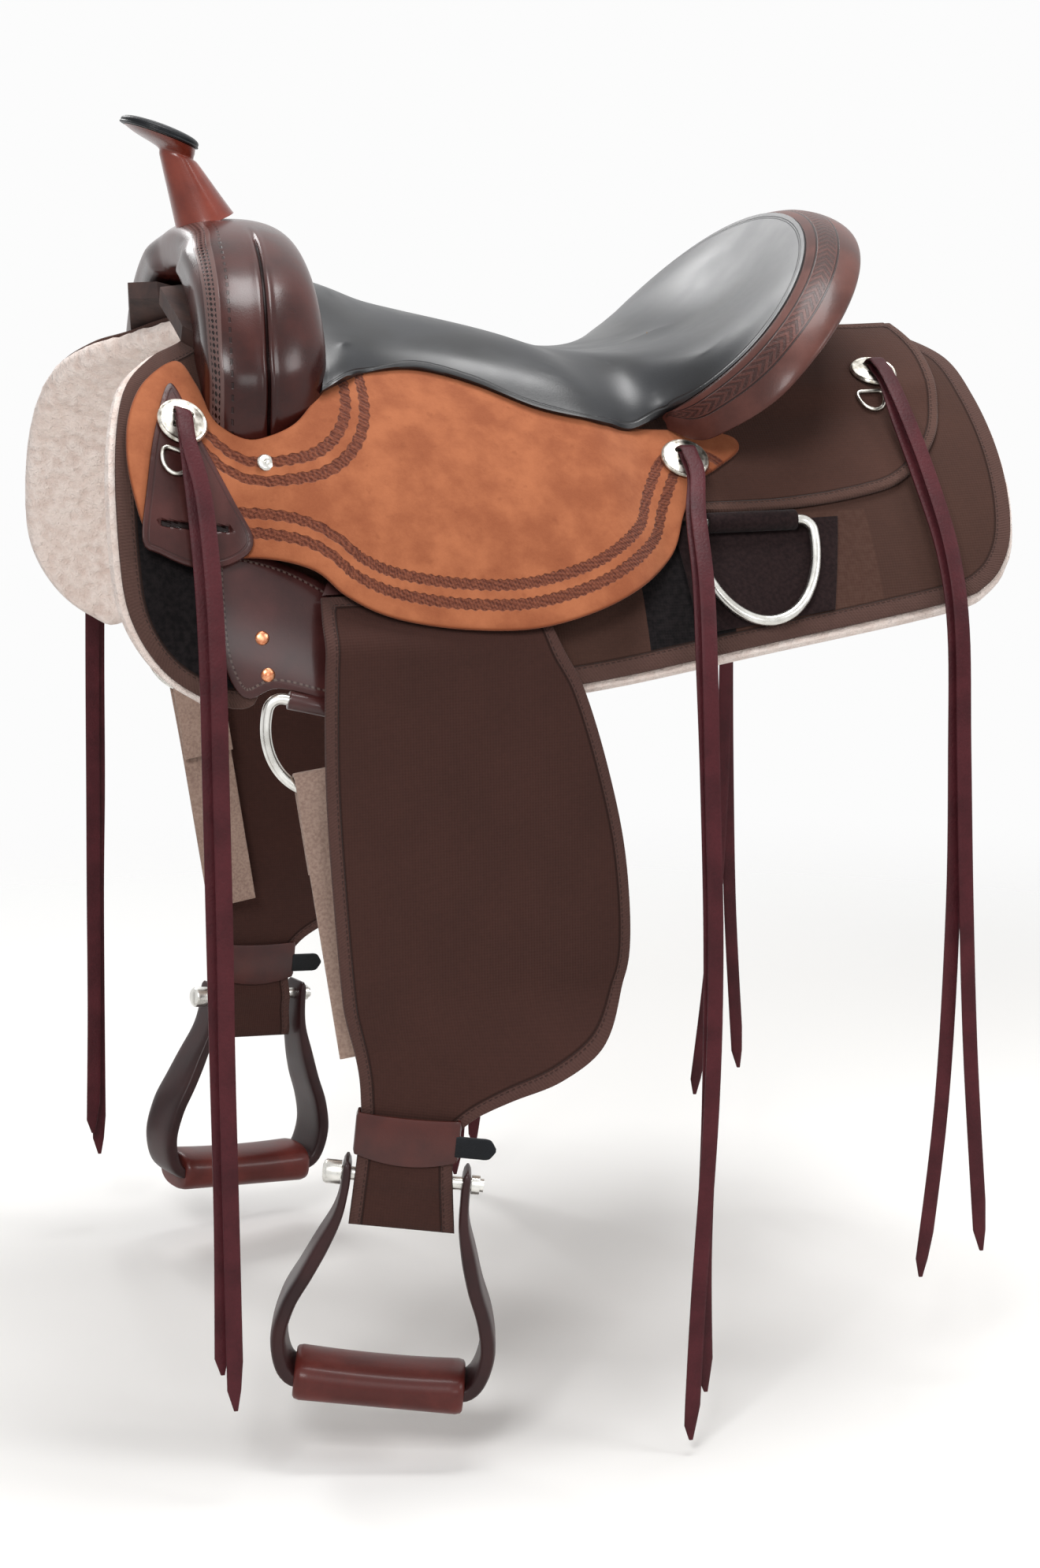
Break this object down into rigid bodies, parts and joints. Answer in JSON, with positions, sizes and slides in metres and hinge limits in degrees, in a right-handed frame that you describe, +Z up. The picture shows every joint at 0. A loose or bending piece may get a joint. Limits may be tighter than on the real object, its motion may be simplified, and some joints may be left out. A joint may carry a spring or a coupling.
{
  "type": "trail saddle",
  "caption": "Western trail saddle: leather-covered fork and horn, padded seat, fleece-lined skirts, rigging rings, saddle strings, swinging fenders and stirrups.",
  "frame": {"origin": "on the middle plane, at the lowest stretch of the underside, where the saddle rests on the horse's back", "axes": "+X towards the horse's tail, +Y towards the right (off) side, +Z up"},
  "size_m": [0.7344, 0.6586, 0.9837],
  "materials": {
    "tree_wood": "raw",
    "fleece": "fleece",
    "woven_cloth": "woven",
    "dark_suede": "suede",
    "glossy_leather": "gloss",
    "rust_leather": "satin",
    "rough_out_leather": "rough-out",
    "seat_leather": "satin",
    "dark_leather": "satin",
    "flesh_side_leather": "matt",
    "string_leather": "satin",
    "steel": "satin"
  },
  "bodies": {
    "saddle": {"tree_fork": "tree_wood", "ground_seat": "tree_wood", "fork_cover": "glossy_leather", "horn_neck": "rust_leather", "horn_cap": "seat_leather", "seat_cushion": "seat_leather", "cantle_binding": "rust_leather", "cantle_back": "rust_leather", "tree_bar_left": "tree_wood", "tree_bar_right": "tree_wood", "fleece_left": "fleece", "fleece_right": "fleece", "skirt_left": "woven_cloth", "skirt_right": "woven_cloth", "seat_jockey_left": "rough_out_leather", "seat_jockey_right": "rough_out_leather", "rear_jockey_left": "woven_cloth", "rear_jockey_right": "woven_cloth", "front_rigging_plate_left": "glossy_leather", "front_rigging_plate_right": "glossy_leather", "rear_rigging_panel_left": "dark_suede", "rear_rigging_panel_right": "dark_suede", "latigo_keeper_left": "dark_leather", "latigo_keeper_right": "dark_leather", "front_concho_left": "steel", "front_concho_right": "steel", "seat_concho_left": "steel", "seat_concho_right": "steel", "rear_concho_left": "steel", "rear_concho_right": "steel", "leather_wrap_left": "dark_leather", "leather_wrap_right": "dark_leather", "front_string_left": "string_leather", "front_string_right": "string_leather", "seat_string_left": "string_leather", "seat_string_right": "string_leather", "rear_string_left": "string_leather", "rear_string_right": "string_leather"},
    "stirrup_leather_left": {"stirrup_leather_left": "dark_leather"},
    "fender_left": {"fender_left": "woven_cloth", "hobble_strap_left": "rust_leather"},
    "stirrup_left": {"stirrup_left": "dark_leather", "stirrup_tread_left": "rust_leather", "stirrup_bolt_left": "steel"},
    "front_dee_left": {"front_rigging_dee_left": "steel", "latigo_left": "flesh_side_leather"},
    "rear_dee_left": {"rear_rigging_dee_left": "steel"},
    "front_small_dee_left": {"front_string_dee_left": "steel"},
    "rear_small_dee_left": {"rear_string_dee_left": "steel"},
    "stirrup_leather_right": {"stirrup_leather_right": "dark_leather"},
    "fender_right": {"fender_right": "woven_cloth", "hobble_strap_right": "rust_leather"},
    "stirrup_right": {"stirrup_right": "dark_leather", "stirrup_tread_right": "rust_leather", "stirrup_bolt_right": "steel"},
    "front_dee_right": {"front_rigging_dee_right": "steel", "off_billet_right": "flesh_side_leather"},
    "rear_dee_right": {"rear_rigging_dee_right": "steel"},
    "front_small_dee_right": {"front_string_dee_right": "steel"},
    "rear_small_dee_right": {"rear_string_dee_right": "steel"}
  },
  "joints": [
    {"name": "leather_swing_left", "type": "hinge", "parent": "saddle", "child": "stirrup_leather_left", "pos_m": [-0.10658, -0.17638, -0.05364], "axis": [-0.0651, 0.8265, -0.5592], "range_deg": [0, 12]},
    {"name": "fender_lift_left", "type": "hinge", "parent": "stirrup_leather_left", "child": "fender_left", "pos_m": [-0.1, -0.26, -0.178], "axis": [-0.9969, -0.0785, 0], "range_deg": [0, 60]},
    {"name": "stirrup_turn_left", "type": "hinge", "parent": "fender_left", "child": "stirrup_left", "pos_m": [-0.12909, -0.27271, -0.57486], "axis": [-0.956, 0.2741, 0.1045], "range_deg": [-12, 12]},
    {"name": "front_dee_turn_left", "type": "hinge", "parent": "saddle", "child": "front_dee_left", "pos_m": [-0.178, -0.24859, -0.22369], "axis": [-0.9692, 0.0732, 0.2352], "range_deg": [-30, 3]},
    {"name": "rear_dee_turn_left", "type": "hinge", "parent": "saddle", "child": "rear_dee_left", "pos_m": [0.16, -0.2004, -0.10419], "axis": [-1, 0, -0.0091], "range_deg": [0, 45]},
    {"name": "front_small_dee_turn_left", "type": "hinge", "parent": "saddle", "child": "front_small_dee_left", "pos_m": [-0.28, -0.20848, -0.03775], "axis": [-0.9427, -0.0005, 0.3337], "range_deg": [0, 6]},
    {"name": "rear_small_dee_turn_left", "type": "hinge", "parent": "saddle", "child": "rear_small_dee_left", "pos_m": [0.3, -0.10918, -0.01321], "axis": [-0.9997, 0, -0.025], "range_deg": [0, 6]},
    {"name": "leather_swing_right", "type": "hinge", "parent": "saddle", "child": "stirrup_leather_right", "pos_m": [-0.10658, 0.17638, -0.05364], "axis": [0.0651, 0.8265, 0.5592], "range_deg": [0, 12]},
    {"name": "fender_lift_right", "type": "hinge", "parent": "stirrup_leather_right", "child": "fender_right", "pos_m": [-0.1, 0.26, -0.178], "axis": [0.9969, -0.0785, 0], "range_deg": [0, 60]},
    {"name": "stirrup_turn_right", "type": "hinge", "parent": "fender_right", "child": "stirrup_right", "pos_m": [-0.12909, 0.27271, -0.57486], "axis": [0.956, 0.2741, -0.1045], "range_deg": [-12, 12]},
    {"name": "front_dee_turn_right", "type": "hinge", "parent": "saddle", "child": "front_dee_right", "pos_m": [-0.178, 0.24859, -0.22369], "axis": [0.9692, 0.0732, -0.2352], "range_deg": [-30, 3]},
    {"name": "rear_dee_turn_right", "type": "hinge", "parent": "saddle", "child": "rear_dee_right", "pos_m": [0.16, 0.2004, -0.10419], "axis": [1, 0, 0.0091], "range_deg": [0, 45]},
    {"name": "front_small_dee_turn_right", "type": "hinge", "parent": "saddle", "child": "front_small_dee_right", "pos_m": [-0.28, 0.20848, -0.03775], "axis": [0.9427, -0.0005, -0.3337], "range_deg": [0, 6]},
    {"name": "rear_small_dee_turn_right", "type": "hinge", "parent": "saddle", "child": "rear_small_dee_right", "pos_m": [0.3, 0.10918, -0.01321], "axis": [0.9997, 0, 0.025], "range_deg": [0, 6]}
  ]
}
